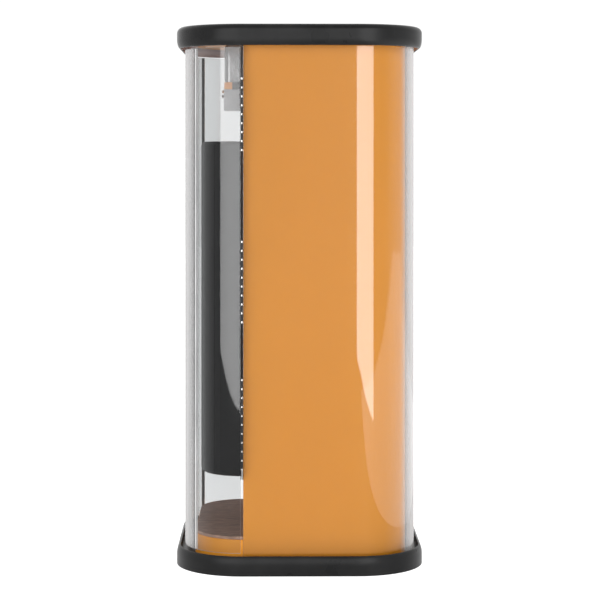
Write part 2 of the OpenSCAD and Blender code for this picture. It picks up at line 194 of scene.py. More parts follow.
@dataclass(frozen=True)
class PowderCoat:
    """Powder-coated sheet metal with a slight orange peel."""

    name: str
    colour: Colour
    roughness: float = 0.36
    specular: float = 0.3
    peel_per_m: float = 420.0
    peel_mm: float = 0.04
    peel_strength: float = 0.35
    shade: float = 0.86
    drift_per_m: float = 3.0
    drift: float = 0.12
    speck_per_m: float = 2600.0
    polish_per_m: float = 14.0
    masked_from: float = math.inf
    bare: Colour = (0.012, 0.012, 0.0125)

    def build(self) -> bpy.types.Material:
        """Builds the node material. Beyond masked_from, along Y, the coat gives way to the bare colour."""
        w = Wiring(self.name)
        deep = tuple(c * self.shade for c in self.colour)
        drift = w.ramp(w.noise(self.drift_per_m), 0.3, 0.7, 0.0, self.drift * 2.0)
        tone = w.blend(drift, self.colour, deep)
        speck = w.ramp(w.noise(self.speck_per_m, 1.0), 0.3, 0.75, 0.0, self.drift)
        tone = w.blend(speck, tone, deep)
        if self.masked_from < math.inf:
            along = w.add("SeparateXYZ", Vector=w.place).outputs["Y"]
            tone = w.blend(w.ramp(along, self.masked_from, self.masked_from + MM, 0.0, 1.0), tone, self.bare)
        rough = w.ramp(w.noise(self.polish_per_m, 4.0), 0.3, 0.7, self.roughness - 0.04,
                       self.roughness + 0.06)
        return w.close(w.add("BsdfPrincipled", Base_Color=tone, Roughness=rough,
                             Specular_IOR_Level=self.specular,
                             Normal=w.bump(w.noise(self.peel_per_m, 2.0), self.peel_mm,
                                           self.peel_strength)))


@dataclass(frozen=True)
class GlossSheet:
    """Glossy sheet with faint wiping marks in its polish."""

    name: str
    colour: Colour
    roughness: float = 0.08
    specular: float = 0.2
    smear_per_m: float = 6.0
    smear: float = 0.07
    dust_per_m: float = 900.0
    dust: float = 0.06
    wave_per_m: float = 5.0
    wave_mm: float = 0.3
    wave_strength: float = 0.15

    def build(self) -> bpy.types.Material:
        """Builds the node material."""
        w = Wiring(self.name)
        smear = w.noise(self.smear_per_m, 5.0, (1.0, 1.0, 0.35))
        dust = w.ramp(w.noise(self.dust_per_m, 2.0), 0.66, 0.8, 0.0, self.dust)
        pale = tuple(c * 1.6 + 0.01 for c in self.colour)
        tone = w.blend(dust, self.colour, pale)
        rough = w.ramp(smear, 0.35, 0.7, self.roughness, self.roughness + self.smear)
        return w.close(w.add("BsdfPrincipled", Base_Color=tone, Roughness=rough,
                             Specular_IOR_Level=self.specular,
                             Normal=w.bump(w.noise(self.wave_per_m, 1.0), self.wave_mm, self.wave_strength)))


@dataclass(frozen=True)
class Metal:
    """Bare or plated metal, brushed along one axis or turned."""

    name: str
    colour: Colour
    roughness: float = 0.3
    brushing: Triple = (1.0, 1.0, 1.0)
    brush_per_m: float = 900.0
    brush_mm: float = 0.02
    contrast: float = 0.25
    stain_per_m: float = 40.0
    stain: float = 0.12

    def build(self) -> bpy.types.Material:
        """Builds the node material."""
        w = Wiring(self.name)
        lines = w.noise(self.brush_per_m, 3.0, self.brushing)
        dull = tuple(c * (1.0 - self.contrast) for c in self.colour)
        tone = w.blend(w.ramp(lines, 0.3, 0.7, 0.0, 1.0), self.colour, dull)
        rough = w.add("Math", operation="ADD")
        w.feed(rough.inputs[0], w.ramp(lines, 0.3, 0.7, self.roughness - 0.05, self.roughness + 0.05))
        w.feed(rough.inputs[1], w.ramp(w.noise(self.stain_per_m, 4.0), 0.4, 0.7, 0.0, self.stain))
        return w.close(w.add("BsdfPrincipled", Base_Color=tone, Roughness=rough.outputs[0], Metallic=1.0,
                             Normal=w.bump(lines, self.brush_mm, 0.3)))


@dataclass(frozen=True)
class ClearSheet:
    """Clear bent polycarbonate: it mirrors more and passes less where it is seen edge on."""

    name: str
    tint: Colour = (0.885, 0.89, 0.892)
    edge_tint: Colour = (0.62, 0.63, 0.64)
    mirror: float = 0.045
    roughness: float = 0.03
    mirror_most: float = 0.45
    milk: Colour = (0.44, 0.435, 0.435)
    milk_from: float = 0.4
    milk_to: float = 0.75
    milk_most: float = 0.75
    edge_from: float = 0.55
    mirror_power: float = 5.0
    haze_per_m: float = 4.0
    haze: float = 0.35

    def build(self) -> bpy.types.Material:
        """Builds the node material. Seen edge on, the sheet turns milky as well."""
        w = Wiring(self.name)
        facing = w.add("LayerWeight", Blend=0.5).outputs["Facing"]
        steep = w.add("Math", operation="POWER")
        w.feed(steep.inputs[0], facing)
        w.feed(steep.inputs[1], self.mirror_power)
        share = w.ramp(steep.outputs[0], 0.0, 1.0, self.mirror, self.mirror_most)
        haze = w.ramp(w.noise(self.haze_per_m, 4.0, (1.0, 1.0, 0.3)), 0.45, 0.75, 0.0, self.haze)
        tone = w.blend(w.ramp(facing, self.edge_from, 1.0, 0.0, 1.0), self.tint, self.edge_tint)
        tone = w.blend(haze, tone, tuple(c * 0.97 for c in self.tint))
        clear = w.add("BsdfTransparent", Color=tone)
        gloss = w.add("BsdfGlossy", Color=(1.0, 1.0, 1.0), Roughness=self.roughness)
        milky = w.add("BsdfDiffuse", Color=self.milk)
        body = w.mix(w.ramp(facing, self.milk_from, self.milk_to, 0.0, self.milk_most), clear, milky)
        return w.close(w.mix(share, body, gloss))


@dataclass(frozen=True)
class Hardboard:
    """Rough brown board of pressed fibre, with pale flecks and darker fibres."""

    name: str
    colour: Colour = (0.38, 0.23, 0.17)
    fleck: Colour = (0.62, 0.5, 0.34)
    roughness: float = 0.82
    fibre_per_m: float = 160.0
    fibre_mm: float = 0.6
    cell_per_m: float = 260.0

    def build(self) -> bpy.types.Material:
        """Builds the node material."""
        w = Wiring(self.name)
        fibres = w.noise(self.fibre_per_m, 6.0, (1.0, 0.3, 1.0))
        cells = w.add("TexVoronoi", Vector=w.place, Scale=self.cell_per_m)
        flecks = w.ramp(cells.outputs["Distance"], 0.06, 0.24, 0.75, 0.0)
        dark = tuple(c * 0.6 for c in self.colour)
        tone = w.blend(w.ramp(fibres, 0.3, 0.7, 0.0, 1.0), self.colour, dark)
        tone = w.blend(flecks, tone, self.fleck)
        return w.close(w.add("BsdfPrincipled", Base_Color=tone, Roughness=self.roughness,
                             Normal=w.bump(fibres, self.fibre_mm, 0.6)))


@dataclass(frozen=True)
class Concrete:
    """Cast concrete with pores."""

    name: str
    colour: Colour = (0.3, 0.29, 0.27)
    roughness: float = 0.9
    grit_per_m: float = 220.0
    grit_mm: float = 0.8

    def build(self) -> bpy.types.Material:
        """Builds the node material."""
        w = Wiring(self.name)
        grit = w.noise(self.grit_per_m, 6.0)
        tone = w.blend(w.ramp(grit, 0.3, 0.7, 0.0, 1.0), self.colour, tuple(c * 0.7 for c in self.colour))
        return w.close(w.add("BsdfPrincipled", Base_Color=tone, Roughness=self.roughness,
                             Normal=w.bump(grit, self.grit_mm)))


PAINTED_RAIL = 16 * MM
RAIL_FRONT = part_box("cash_rails")[0][1]


class Finish(Enum):
    """The finishes of the box. A value's name, up to its dot, is its material slot in the record."""

    BLACK_PLASTIC = MouldedPlastic("black_plastic", (0.009, 0.009, 0.0092), specular=0.14)
    ORANGE_SHEET = PowderCoat("orange_sheet", (0.71, 0.277, 0.024))
    BLACK_STEEL = PowderCoat("black_steel", (0.012, 0.012, 0.0125), roughness=0.3)
    DARK_STEEL = Metal("black_steel.polished", (0.3, 0.29, 0.29), 0.14, contrast=0.1)
    PALE_STEEL = PowderCoat("black_steel.pale", (0.55, 0.55, 0.55))
    # A pale pinkish copy of the black plastic under the cap: painted light, as the moulding there is black
    # as well.
    UNDERSIDE = MouldedPlastic("black_plastic.underside", (0.46, 0.37, 0.36), 0.5)
    RAIL_COAT = PowderCoat("orange_sheet.masked", (0.7, 0.27, 0.026),
                           masked_from=RAIL_FRONT + PAINTED_RAIL)
    BLACK_GLOSS = GlossSheet("black_gloss", (0.006, 0.006, 0.0063))
    RED_PLASTIC = GlossSheet("red_plastic", (0.45, 0.05, 0.03), 0.2)
    CLEAR_SHELL = ClearSheet("clear_shell")
    # A pale grey strip on the door's corner, painted as a highlight line along the shell's edge.
    PAINTED_HIGHLIGHT_STRIP = MouldedPlastic("clear_shell.joint", (0.5, 0.5, 0.5), 0.2, 0.5, scuff=0.0)
    BROWN_BOARD = Hardboard("brown_board")
    CONCRETE = Concrete("concrete")
    ZINC_STEEL = Metal("zinc_steel", (0.56, 0.56, 0.53), 0.38, contrast=0.3, brush_per_m=120.0)
    BRIGHT_STEEL = Metal("bright_steel", (0.8, 0.8, 0.79), 0.16, (1.0, 1.0, 0.05))
    BRUSHED_STEEL = Metal("brushed_steel", (0.56, 0.56, 0.56), 0.3, (0.04, 1.0, 1.0))

    @property
    def slot(self) -> str:
        """The material slot that the finish stands for."""
        return self.value.name.split(".")[0]

    def material(self) -> bpy.types.Material:
        """The finish's material, built on its first use."""
        return bpy.data.materials.get(self.value.name + "_finish") or self.value.build()


# ---------------------------------------------------------------- mesh tools
SHARP_ANGLE = math.radians(32.0)
CORNER_ANGLE = math.radians(50.0)
FLAT_ANGLE = math.radians(0.5)
LOOP_GAP = 2 * MM
SAME = 1e-5
WELD = 1e-6
OVERSHOOT = 10 * MM


def span(node: str) -> tuple[Vector, Vector]:
    """Lowest and highest corner of a CAD node."""
    low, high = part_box(node)
    return Vector(low), Vector(high)


def edges_by(bm: bmesh.types.BMesh, test: Callable[[bmesh.types.BMEdge], bool]) -> list[bmesh.types.BMEdge]:
    """The edges of bm that pass test."""
    return [edge for edge in bm.edges if test(edge)]


def bevel(bm: bmesh.types.BMesh, edges: Iterable[bmesh.types.BMEdge], width: float,
          segments: int = 2) -> None:
    """Rounds edges by width metres."""
    bmesh.ops.bevel(bm, geom=list(edges), offset=width, offset_type="OFFSET", segments=segments,
                    profile=0.5, affect="EDGES", material=-1, clamp_overlap=True)


def sharp_edges(bm: bmesh.types.BMesh, angle: float = SHARP_ANGLE) -> list[bmesh.types.BMEdge]:
    """The edges of bm whose two faces meet at more than angle."""
    return edges_by(bm, lambda e: len(e.link_faces) == 2 and e.calc_face_angle(0.0) > angle)


def slice_at(bm: bmesh.types.BMesh, axis: int, places: Iterable[float]) -> None:
    """Adds an edge loop round bm at each place along an axis, so that its flats keep true normals."""
    normal = Vector((0.0, 0.0, 0.0))
    normal[axis] = 1.0
    for place in places:
        bmesh.ops.bisect_plane(bm, geom=bm.verts[:] + bm.edges[:] + bm.faces[:], plane_co=normal * place,
                               plane_no=normal)


def rounded_block(half_w: float, half_d: float, radius: float, low: float, high: float,
                  segments: int = 28) -> bmesh.types.BMesh:
    """A block with rounded uprights.

    Args:
        half_w: half its width along X.
        half_d: half its depth along Y.
        radius: the radius of its uprights.
        low: the height of its underside.
        high: the height of its top.
        segments: how many faces make each rounded upright.

    Returns:
        A new mesh, centred on the Z axis.
    """
    bm = bmesh.new()
    bmesh.ops.create_cube(bm, size=2.0)
    bmesh.ops.scale(bm, vec=(half_w, half_d, (high - low) / 2), verts=bm.verts)
    bmesh.ops.translate(bm, vec=(0.0, 0.0, (high + low) / 2), verts=bm.verts)
    uprights = edges_by(bm, lambda e: abs(e.verts[0].co.z - e.verts[1].co.z) > WELD)
    bevel(bm, uprights, radius, segments)
    for axis, half in ((0, half_w), (1, half_d)):
        slice_at(bm, axis, (-half + radius + LOOP_GAP, half - radius - LOOP_GAP))
    return bm


def level_faces(bm: bmesh.types.BMesh, height: float) -> list[bmesh.types.BMFace]:
    """The flat faces of bm that lie at a height."""
    return [f for f in bm.faces
            if abs(f.normal.z) > 0.99 and abs(f.calc_center_median().z - height) < SAME]


def rim_edges(bm: bmesh.types.BMesh, height: float) -> list[bmesh.types.BMEdge]:
    """The sharp edges of bm that lie at a height."""
    return [e for e in sharp_edges(bm) if all(abs(v.co.z - height) < SAME for v in e.verts)]


class Piece:
    """One visible piece: a finished mesh that rides on a body and wears a finish."""

    @staticmethod
    def make(name: str, bm: bmesh.types.BMesh, finish: Finish, body: str,
             replaces: Iterable[str] = ()) -> bpy.types.Object:
        """Turns a bmesh into a piece.

        Args:
            name: the piece's name.
            bm: its mesh, in the frame, which is freed.
            finish: what it wears.
            body: the body that it rides on.
            replaces: the CAD nodes that it stands for.

        Returns:
            The new object.
        """
        bmesh.ops.remove_doubles(bm, verts=bm.verts, dist=WELD)
        bmesh.ops.recalc_face_normals(bm, faces=bm.faces)
        mesh = bpy.data.meshes.new(name)
        bm.to_mesh(mesh)
        bm.free()
        piece = bpy.data.objects.new(name, mesh)
        bpy.context.scene.collection.objects.link(piece)
        mesh.materials.append(finish.material())
        Piece.smooth(piece)
        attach(piece, body)
        if replaces:
            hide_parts(*replaces)
        LOG.info("%s: %d faces, on %s", name, len(mesh.polygons), body)
        return piece

    @staticmethod
    def bake(piece: bpy.types.Object) -> None:
        """Gives the piece the mesh that its modifiers make, and takes them off."""
        graph = bpy.context.evaluated_depsgraph_get()
        made = bpy.data.meshes.new_from_object(piece.evaluated_get(graph), depsgraph=graph)
        piece.modifiers.clear()
        piece.data = made
        piece.data.name = piece.name

    @staticmethod
    def smooth(piece: bpy.types.Object) -> None:
        """Shades the piece smooth between its sharp edges, with the large faces kept flat."""
        piece.data.shade_smooth()
        piece.data.set_sharp_from_angle(angle=SHARP_ANGLE)
        weighted = piece.modifiers.new("weighted", "WEIGHTED_NORMAL")
        weighted.keep_sharp = True
        weighted.mode = "FACE_AREA"
        Piece.bake(piece)

    @staticmethod
    def cut(piece: bpy.types.Object, cutters: Iterable[bmesh.types.BMesh]) -> None:
        """Cuts the cutters' shapes out of a piece, which keeps its material."""
        for cutter in cutters:
            mesh = bpy.data.meshes.new("cutter")
            cutter.to_mesh(mesh)
            cutter.free()
            tool = bpy.data.objects.new("cutter", mesh)
            bpy.context.scene.collection.objects.link(tool)
            modifier = piece.modifiers.new("cut", "BOOLEAN")
            modifier.operation = "DIFFERENCE"
            modifier.solver = "EXACT"
            modifier.object = tool
            Piece.bake(piece)
            bpy.data.objects.remove(tool)
        Piece.smooth(piece)

    @staticmethod
    def from_node(node: str, finish: Finish, body: str, width: float = 0.8 * MM,
                  segments: int = 2, front: float = 0.0) -> bpy.types.Object:
        """Stands a copy of a CAD node, with its edges rounded, in the node's place.

        Args:
            node: the CAD node.
            finish: what the copy wears.
            body: the body that it rides on.
            width: how wide its edges are rounded.
            segments: how many faces make each rounded edge.
            front: the radius of the edges between its front corners, or 0 to round them like the others.

        Returns:
            The new object.
        """
        bm = bmesh.new()
        bm.from_mesh(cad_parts[node].data)
        bmesh.ops.remove_doubles(bm, verts=bm.verts, dist=WELD)
        bmesh.ops.dissolve_limit(bm, angle_limit=FLAT_ANGLE, verts=bm.verts, edges=bm.edges)
        if front:
            low, high = span(node)
            for depth in sorted({round(v.co.y - low.y, 5) for v in bm.verts if v.co.y - low.y < front / 2}):
                corners = edges_by(bm, lambda e: all(
                    abs(v.co.y - low.y - depth) < SAME and
                    min(abs(v.co.x - low.x - depth), abs(high.x - depth - v.co.x)) < SAME for v in e.verts))
                bevel(bm, corners, front - depth, 7)
        bevel(bm, sharp_edges(bm, CORNER_ANGLE), width, segments)
        return Piece.make(node + "_finished", bm, finish, body, [node])

    @staticmethod
    def keep(node: str, finish: Finish) -> None:
        """Dresses a CAD node that stays as it is."""
        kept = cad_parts[node]
        kept.data.materials.clear()
        kept.data.materials.append(finish.material())
        LOG.info("%s: kept", node)


def box_cutter(low: tuple[float, float, float], high: tuple[float, float, float]) -> bmesh.types.BMesh:
    """A box from one corner to the other."""
    bm = bmesh.new()
    bmesh.ops.create_cube(bm, size=1.0)
    bmesh.ops.scale(bm, vec=Vector(high) - Vector(low), verts=bm.verts)
    bmesh.ops.translate(bm, vec=(Vector(high) + Vector(low)) / 2, verts=bm.verts)
    return bm


def round_cutter(x: float, y: float, low: float, high: float, radius: float) -> bmesh.types.BMesh:
    """An upright cylinder."""
    bm = bmesh.new()
    bmesh.ops.create_cone(bm, cap_ends=True, segments=48, radius1=radius, radius2=radius, depth=high - low)
    bmesh.ops.translate(bm, vec=(x, y, (low + high) / 2), verts=bm.verts)
    return bm


@dataclass
class Plan:
    """The rounded-square plan that every wall follows, at an inset from the plate's edge."""

    half_w: float = 0.0
    half_d: float = 0.0
    corner: float = 0.137

    @classmethod
    def of(cls, node: str) -> "Plan":
        """The plan of the whole box, taken from its base."""
        low, high = span(node)
        return cls((high.x - low.x) / 2, (high.y - low.y) / 2)

    def depth(self, point: Vector) -> float:
        """How far a point lies inside the plan's edge."""
        x = abs(point.x) - self.half_w + self.corner
        y = abs(point.y) - self.half_d + self.corner
        return self.corner - (math.hypot(x, y) if min(x, y) > 0.0 else max(x, y))

    def block(self, inset: float, low: float, high: float, segments: int = 28) -> bmesh.types.BMesh:
        """A rounded block at an inset."""
        return rounded_block(self.half_w - inset, self.half_d - inset, self.corner - inset, low, high,
                             segments)

    def sheet(self, inset: float, wall: float, low: float, high: float, cut_y: float, front: bool,
              lip: float = 0.0) -> bmesh.types.BMesh:
        """A bent sheet that follows the plan.

        Args:
            inset: how far its outer face lies inside the plate's edge.
            wall: its thickness.
            low: the height of its lower edge.
            high: the height of its upper edge.
            cut_y: where it ends, along Y.
            front: True for the part in front of cut_y, False for the part behind.
            lip: the radius of lips that roll inwards along its upper and lower edges.

        Returns:
            A new closed mesh.
        """
        bm = self.block(inset, low, high)
        if lip:
            bevel(bm, rim_edges(bm, low) + rim_edges(bm, high), lip, 8)
        bmesh.ops.delete(bm, geom=level_faces(bm, low) + level_faces(bm, high), context="FACES")
        slice_at(bm, 2, (low + lip + LOOP_GAP, high - lip - LOOP_GAP))
        slice_at(bm, 1, (cut_y + (-LOOP_GAP if front else LOOP_GAP),))
        bmesh.ops.bisect_plane(bm, geom=bm.verts[:] + bm.edges[:] + bm.faces[:], plane_co=(0.0, cut_y, 0.0),
                               plane_no=(0.0, 1.0 if front else -1.0, 0.0), clear_outer=True)
        bmesh.ops.recalc_face_normals(bm, faces=bm.faces)
        if sum(f.normal.y * f.calc_center_median().y for f in bm.faces) < 0:
            bmesh.ops.reverse_faces(bm, faces=bm.faces)
        bmesh.ops.solidify(bm, geom=bm.faces[:], thickness=wall)
        return bm


# ---------------------------------------------------------------- sub-assemblies
@dataclass
class Mouldings:
    """The black base and cap."""

    plan: Plan
    rim: float = 8 * MM
    cap_round: float = 12 * MM
    foot_round: float = 1.5 * MM
    lip_round: float = 6.8 * MM
    lip_reach: float = 19 * MM
    lip_inner: float = 0.8 * MM
    wall_slack: float = 0.1 * MM
    corner_faces: int = 40
    base_floor: float = 24 * MM
    cap_slab: float = 24 * MM
    anchor_pitch: float = 300 * MM
    anchor_radius: float = 6.5 * MM
    chute_wall: float = 2.5 * MM
    button_radius: float = 9 * MM
    button_gap: float = 0.3 * MM
    spring_pocket: float = 12 * MM

    def base(self) -> bpy.types.Object:
        """The base tray: a slab with a rim round its edge and four anchor holes."""
        low, high = span("base_tray")
        bm = self.plan.block(0.0, low.z, high.z, self.corner_faces)
        self.recess(bm, high.z, self.base_floor - high.z)
        self.roll_lip(bm, high.z, -self.lip_round)
        bevel(bm, rim_edges(bm, low.z), self.foot_round, 4)
        piece = Piece.make("base_moulding", bm, Finish.BLACK_PLASTIC, "stand", ["base_tray"])
        half = self.anchor_pitch / 2
        Piece.cut(piece, [round_cutter(x, y, -OVERSHOOT, self.base_floor + OVERSHOOT, self.anchor_radius)
                          for x in (-half, half) for y in (-half, half)])
        return piece

    def cap(self) -> bpy.types.Object:
        """The cap: a slab with a rounded top edge, a rim below it, and openings for coin and button."""
        low, high = span("top_cap")
        bm = self.plan.block(0.0, low.z, high.z, self.corner_faces)
        self.recess(bm, low.z, high.z - self.cap_slab - low.z)
        self.roll_lip(bm, low.z, self.lip_round)
        bevel(bm, rim_edges(bm, high.z), self.cap_round, 8)
        piece = Piece.make("cap_moulding", bm, Finish.BLACK_PLASTIC, "stand", ["top_cap"])
        plate_low, plate_high = span("coin_slot_plate")
        button_low, button_high = span("release_button")
        chute_low, chute_high = span("coin_chute")
        button_x, button_y = (button_low.x + button_high.x) / 2, (button_low.y + button_high.y) / 2
        top, ledge = high.z + OVERSHOOT, high.z - self.cap_slab
        Piece.cut(piece, [
            box_cutter(plate_low, (plate_high.x, plate_high.y, top)),
            box_cutter((chute_low.x + self.chute_wall, chute_low.y + self.chute_wall, low.z),
                       (chute_high.x - self.chute_wall, chute_high.y - self.chute_wall, top)),
            round_cutter(button_x, button_y, low.z + OVERSHOOT, top, self.button_radius + self.button_gap),
            round_cutter(button_x, button_y, low.z + OVERSHOOT, ledge + OVERSHOOT, self.spring_pocket),
        ])
        # The faces under the cap, inside its rim, take the pale pinkish copy: painted light on the black
        # moulding.
        piece.data.materials.append(Finish.UNDERSIDE.material())
        for face in piece.data.polygons:
            if face.center.z < ledge + MM and self.plan.depth(face.center) > self.rim - self.wall_slack:
                face.material_index = 1
        return piece

    def roll_lip(self, bm: bmesh.types.BMesh, height: float, away: float) -> None:
        """Rolls the rim's outer edge over, so that the roll reaches lip_reach along Z.

        Args:
            bm: the moulding's mesh.
            height: the height of the rim's edge.
            away: the roll's radius, signed for the way along Z from the edge to the moulding's middle.
        """
        bevel(bm, [e for e in rim_edges(bm, height) if self.plan.depth(e.verts[0].co) > self.rim / 2],
              self.lip_inner, 2)
        bevel(bm, [e for e in rim_edges(bm, height) if self.plan.depth(e.verts[0].co) < self.rim / 2],
              self.lip_round, 8)
        reach = self.lip_round + SAME
        rolled = [v for v in bm.verts if -SAME <= (v.co.z - height) * math.copysign(1.0, away) <= reach
                  and self.plan.depth(v.co) < reach]
        bmesh.ops.scale(bm, vec=(1.0, 1.0, self.lip_reach / self.lip_round), verts=rolled,
                        space=Matrix.Translation((0.0, 0.0, -height)))

    def recess(self, bm: bmesh.types.BMesh, height: float, depth: float) -> None:
        """Sinks the face at a height, inside the rim, by depth along Z."""
        face = level_faces(bm, height)
        bmesh.ops.inset_region(bm, faces=face, thickness=self.rim, use_even_offset=True)
        moved = bmesh.ops.extrude_face_region(bm, geom=face)["geom"]
        bmesh.ops.translate(bm, vec=(0.0, 0.0, depth),
                            verts=[v for v in moved if isinstance(v, bmesh.types.BMVert)])
        bmesh.ops.delete(bm, geom=face, context="FACES")

    def build(self) -> None:
        """Builds both mouldings."""
        self.base()
        self.cap()


@dataclass
class Shell:
    """The clear sheets: a fixed one round the back and one on the door."""

    plan: Plan
    ledge: float = 17 * MM
    wall: float = 5 * MM
    polish: float = 0.4 * MM
    joint_angle: float = math.radians(54.0)
    joint_wide: float = 2.2 * MM
    joint_proud: float = 0.3 * MM

    def joint(self, name: str, side: int, shift: float, finish: Finish) -> bpy.types.Object:
        """An upright strip on one of the door's clear corners: the pale one is a painted highlight line and
        the black one a painted shadow line along the shell's edge.

        Args:
            name: the strip's name.
            side: 1 for the corner on the hinge side, -1 for the other.
            shift: how far the strip lies round the corner from the middle of the pair of painted strips.
            finish: what it wears.

        Returns:
            The new object.
        """
        low, high = span("door_shell")
        radius = self.plan.corner - self.ledge
        angle = self.joint_angle + shift / radius
        bm = box_cutter((radius - self.wall - self.joint_proud, -self.joint_wide / 2, low.z + self.polish),
                        (radius + self.joint_proud, self.joint_wide / 2, high.z - self.polish))
        bevel(bm, sharp_edges(bm), self.joint_proud, 2)
        turn = Matrix.Rotation(-angle if side > 0 else math.pi + angle, 3, "Z")
        bmesh.ops.rotate(bm, cent=(0.0, 0.0, 0.0), matrix=turn, verts=bm.verts)
        bmesh.ops.translate(bm, vec=(side * (self.plan.half_w - self.plan.corner),
                                     self.plan.corner - self.plan.half_d, 0.0), verts=bm.verts)
        return Piece.make(name, bm, finish, "door")

    def sheet(self, node: str, body: str, front: bool) -> bpy.types.Object:
        """One clear sheet in the place of its CAD node."""
        low, high = span(node)
        cut_y = high.y if front else low.y
        bm = self.plan.sheet(self.ledge, self.wall, low.z, high.z, cut_y, front)
        bevel(bm, sharp_edges(bm), self.polish, 2)
        return Piece.make(node + "_sheet", bm, Finish.CLEAR_SHELL, body, [node])

    def build(self) -> None:
        """Builds both sheets, and the painted highlight and shadow strips on the door's corners."""
        self.sheet("rear_shell", "stand", False)
        self.sheet("door_shell", "door", True)
        # Each corner gets a pale strip painted as a highlight line and, beside it, a black strip painted as
        # a shadow line.
        for side, label in ((1, "hinge"), (-1, "latch")):
            self.joint(f"door_joint_{label}", side, -self.joint_wide / 2, Finish.PAINTED_HIGHLIGHT_STRIP)
            self.joint(f"door_joint_seal_{label}", side, self.joint_wide / 2, Finish.BLACK_STEEL)


@dataclass
class Cabinet:
    """The coloured cabinet: its bent sheet, plinth, stack board and ceiling."""

    plan: Plan
    inset: float = 35 * MM
    wall: float = 2 * MM
    plinth_inset: float = 38 * MM
    fold: float = 0.7 * MM
    plinth_round: float = 3 * MM
    board_gap: float = 2 * MM
    board_round: float = 1.2 * MM
    edge_round: float = 0.6 * MM

    def liner(self) -> bpy.types.Object:
        """The sheet round the sides and back."""
        low, high = span("cabinet_liner")
        bm = self.plan.sheet(self.inset, self.wall, low.z, high.z, low.y, False)
        bevel(bm, sharp_edges(bm), self.fold, 2)
        return Piece.make("cabinet_sheet", bm, Finish.ORANGE_SHEET, "stand", ["cabinet_liner"])

    def plinth(self) -> bpy.types.Object:
        """The plinth cover, with its top edge rounded by the press brake."""
        low, high = span("plinth_cover")
        bm = self.plan.block(self.plinth_inset, low.z, high.z)
        bevel(bm, rim_edges(bm, high.z), self.plinth_round, 4)
        bmesh.ops.delete(bm, geom=level_faces(bm, low.z), context="FACES")
        bmesh.ops.recalc_face_normals(bm, faces=bm.faces)
        bmesh.ops.solidify(bm, geom=bm.faces[:], thickness=self.wall)
        return Piece.make("plinth_pressing", bm, Finish.ORANGE_SHEET, "stand", ["plinth_cover"])

    def board(self) -> bpy.types.Object:
        """The board that the papers lie on."""
        low, high = span("stack_board")
        bm = self.plan.block(self.plinth_inset + self.board_gap, low.z, high.z)
        bevel(bm, rim_edges(bm, high.z), self.board_round, 3)
        return Piece.make("stack_board_slab", bm, Finish.BROWN_BOARD, "stand", ["stack_board"])

    def build(self) -> None:
        """Builds the cabinet's pieces."""
        self.liner()
        self.plinth()
        self.board()
        Piece.from_node("ceiling_plate", Finish.ORANGE_SHEET, "stand", self.edge_round)
        Piece.from_node("liner_brackets", Finish.ZINC_STEEL, "stand", self.edge_round)
        Piece.keep("ballast_block", Finish.CONCRETE)
        for node in ("tie_rods", "tie_rod_nuts", "bracket_screws", "cap_screws"):
            Piece.keep(node, Finish.ZINC_STEEL)


@dataclass
class Door:
    """What the door carries besides its clear sheet."""

    plan: Plan
    panel_inset: float = 50 * MM
    panel_wall: float = 3 * MM
    panel_lip: float = 9 * MM
    panel_edge: float = 0.6 * MM
    pull_round: float = 1.6 * MM
    strike_round: float = 0.5 * MM
    plate_round: float = 0.3 * MM

    def display(self) -> bpy.types.Object:
        """The glossy black display sheet, with its upper and lower edges rolled inwards."""
        low, high = span("display_panel")
        bm = self.plan.sheet(self.panel_inset, self.panel_wall, low.z, high.z, high.y, True, self.panel_lip)
        bevel(bm, sharp_edges(bm), self.panel_edge, 2)
        return Piece.make("display_sheet", bm, Finish.BLACK_GLOSS, "door", ["display_panel"])

    def build(self) -> None:
        """Builds the door's pieces."""
        self.display()
        Piece.keep("hinge_leaf_door", Finish.BLACK_STEEL)
        Piece.keep("latch_stile", Finish.PALE_STEEL)
        Piece.from_node("door_pull", Finish.BLACK_PLASTIC, "door", self.pull_round, 3)
        Piece.from_node("door_strike", Finish.BRUSHED_STEEL, "door", self.strike_round)
        Piece.from_node("catch_plate", Finish.BRIGHT_STEEL, "door", self.plate_round)
        for node in ("panel_screws", "pull_nuts"):
            Piece.keep(node, Finish.ZINC_STEEL)


@dataclass
class Hardware:
    """Hinge, jamb, latch and catch on the stand."""

    catch_round: float = 1 * MM
    case_round: float = 0.8 * MM
    bolt_round: float = 0.6 * MM

    def build(self) -> None:
        """Dresses the hardware."""
        Piece.keep("hinge_leaf_cabinet", Finish.BLACK_STEEL)
        Piece.keep("latch_jamb", Finish.PALE_STEEL)
        Piece.keep("hinge_pins", Finish.BRIGHT_STEEL)
        Piece.from_node("magnet_catch", Finish.BLACK_PLASTIC, "stand", self.catch_round)
        Piece.from_node("latch_case", Finish.BLACK_STEEL, "stand", self.case_round)
        Piece.from_node("latch_bolt", Finish.BRIGHT_STEEL, "bolt", self.bolt_round)


@dataclass
class CoinMechanism:
    """The coin mechanism under the cap, its cash box, and the plate and button on the cap."""

    case_corner: float = 12 * MM
    box_corner: float = 7 * MM
    sheet_round: float = 0.5 * MM
    rail_round: float = 0.4 * MM
    plate_round: float = 0.35 * MM
    button_round: float = 1 * MM

    def build(self) -> None:
        """Builds the mechanism's pieces."""
        Piece.from_node("mechanism_case", Finish.DARK_STEEL, "stand", self.sheet_round, 2,
                        self.case_corner)
        Piece.from_node("cash_rails", Finish.RAIL_COAT, "stand", self.rail_round)
        Piece.from_node("coin_chute", Finish.ZINC_STEEL, "stand", self.rail_round)
        Piece.from_node("cash_box", Finish.DARK_STEEL, "drawer", self.sheet_round, 2, self.box_corner)
        Piece.from_node("cash_lock", Finish.BRIGHT_STEEL, "lock", self.sheet_round)
        Piece.from_node("coin_slot_plate", Finish.BRUSHED_STEEL, "stand", self.plate_round)
        Piece.from_node("release_button", Finish.RED_PLASTIC, "button", self.button_round, 3)
        Piece.keep("slot_plate_screws", Finish.ZINC_STEEL)
        Piece.keep("button_spring", Finish.BRIGHT_STEEL)


